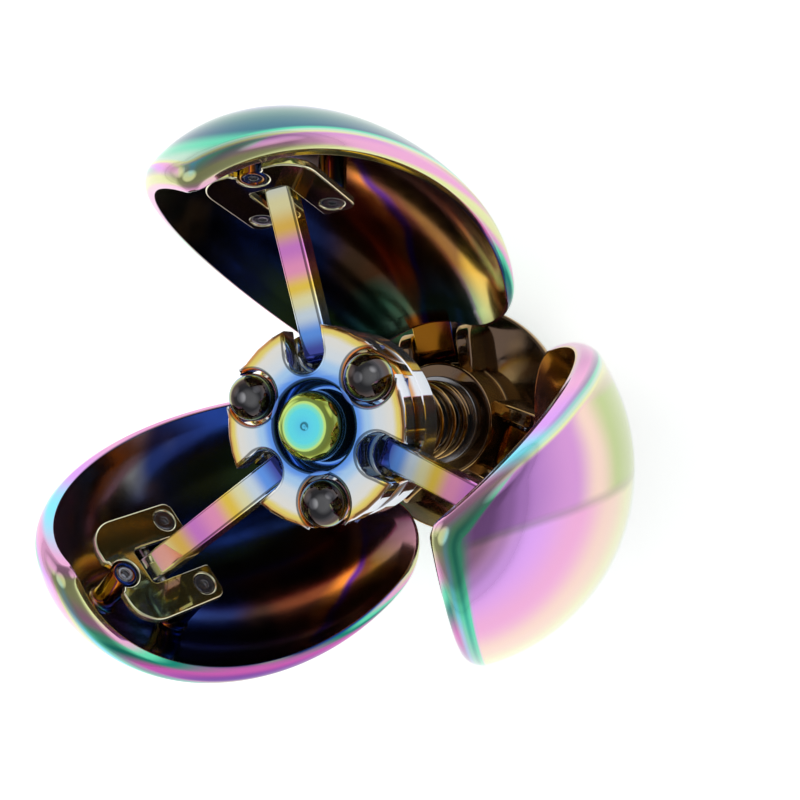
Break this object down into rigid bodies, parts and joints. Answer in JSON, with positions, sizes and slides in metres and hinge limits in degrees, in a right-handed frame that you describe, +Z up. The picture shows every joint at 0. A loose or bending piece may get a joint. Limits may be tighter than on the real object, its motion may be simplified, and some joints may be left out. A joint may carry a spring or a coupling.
{
  "type": "fidget spinner",
  "caption": "Folding flower fidget spinner: an egg of mirror-finish metal petals on a bearing, opened and closed by struts from a sliding, sprung hub.",
  "frame": {"origin": "middle of the finger pad's flat underside, on the spin axis", "axes": "+Z up the spin axis, from the finger pad to the pin cap; petal_a points along +Y"},
  "size_m": [0.0558, 0.0533, 0.0547],
  "materials": {
    "rainbow_shell": "mirror polished, rainbow coated",
    "rainbow_hub": "mirror polished, rainbow coated",
    "rainbow_bracket": "polished, rainbow coated",
    "rainbow_carrier": "polished, rainbow coated",
    "spring_wire": "bright",
    "mirror_ball": "mirror",
    "steel": "ground"
  },
  "bodies": {
    "base": {"finger_pad": "rainbow_shell", "shaft": "steel", "pin_cap": "rainbow_hub", "bearing_inner_race": "steel"},
    "rotor": {"carrier": "rainbow_carrier", "bearing_outer_race": "steel", "bearing_balls": "mirror_ball", "lower_spring_washer": "steel", "spring": "spring_wire", "hinge_pin_a": "steel", "hinge_pin_b": "steel", "hinge_pin_c": "steel"},
    "hub": {"hub_front_plate": "rainbow_hub", "hub_rear_plate": "rainbow_hub", "upper_spring_washer": "steel", "hub_ball_a": "mirror_ball", "hub_ball_b": "mirror_ball", "hub_ball_c": "mirror_ball", "strut_inner_pin_a": "steel", "strut_inner_pin_b": "steel", "strut_inner_pin_c": "steel"},
    "petal_a": {"petal_a": "rainbow_shell", "bracket_a": "rainbow_bracket", "bracket_screw_a_left": "steel", "bracket_screw_a_right": "steel", "bracket_screw_a_end": "steel"},
    "strut_a": {"strut_a": "rainbow_hub", "strut_outer_pin_a": "steel"},
    "petal_b": {"petal_b": "rainbow_shell", "bracket_b": "rainbow_bracket", "bracket_screw_b_left": "steel", "bracket_screw_b_right": "steel", "bracket_screw_b_end": "steel"},
    "strut_b": {"strut_b": "rainbow_hub", "strut_outer_pin_b": "steel"},
    "petal_c": {"petal_c": "rainbow_shell", "bracket_c": "rainbow_bracket", "bracket_screw_c_left": "steel", "bracket_screw_c_right": "steel", "bracket_screw_c_end": "steel"},
    "strut_c": {"strut_c": "rainbow_hub", "strut_outer_pin_c": "steel"}
  },
  "joints": [
    {"name": "rotor_spin", "type": "hinge", "parent": "base", "child": "rotor", "pos_m": [0, 0, 0.0053], "axis": [0, 0, 1], "continuous": true},
    {"name": "petal_a_fold", "type": "hinge", "parent": "rotor", "child": "petal_a", "pos_m": [0, 0.0083, 0.0064], "axis": [1, 0, 0], "range_deg": [0, 23.4]},
    {"name": "petal_b_fold", "type": "hinge", "parent": "rotor", "child": "petal_b", "pos_m": [-0.00719, -0.00415, 0.0064], "axis": [-0.5, 0.866, 0], "range_deg": [0, 23.4]},
    {"name": "petal_c_fold", "type": "hinge", "parent": "rotor", "child": "petal_c", "pos_m": [0.00719, -0.00415, 0.0064], "axis": [-0.5, -0.866, 0], "range_deg": [0, 23.4]},
    {"name": "hub_slide", "type": "slide", "parent": "rotor", "child": "hub", "axis": [0, 0, -1], "range_m": [0, 0.0094], "deforming": ["spring"]},
    {"name": "strut_a_swing", "type": "hinge", "parent": "hub", "child": "strut_a", "pos_m": [0, 0.0071, 0.0352], "axis": [1, 0, 0], "range_deg": [0, 71.5]},
    {"name": "strut_b_swing", "type": "hinge", "parent": "hub", "child": "strut_b", "pos_m": [-0.00615, -0.00355, 0.0352], "axis": [-0.5, 0.866, 0], "range_deg": [0, 71.5]},
    {"name": "strut_c_swing", "type": "hinge", "parent": "hub", "child": "strut_c", "pos_m": [0.00615, -0.00355, 0.0352], "axis": [-0.5, -0.866, 0], "range_deg": [0, 71.5]}
  ],
  "couplings": [
    {"joint": "petal_b_fold", "follows": "petal_a_fold", "ratio": 1},
    {"joint": "petal_c_fold", "follows": "petal_a_fold", "ratio": 1},
    {"joint": "hub_slide", "follows": "petal_a_fold", "m_per_rad": 0.023004},
    {"joint": "strut_a_swing", "follows": "petal_a_fold", "ratio": 3.0529},
    {"joint": "strut_b_swing", "follows": "petal_a_fold", "ratio": 3.0529},
    {"joint": "strut_c_swing", "follows": "petal_a_fold", "ratio": 3.0529}
  ]
}
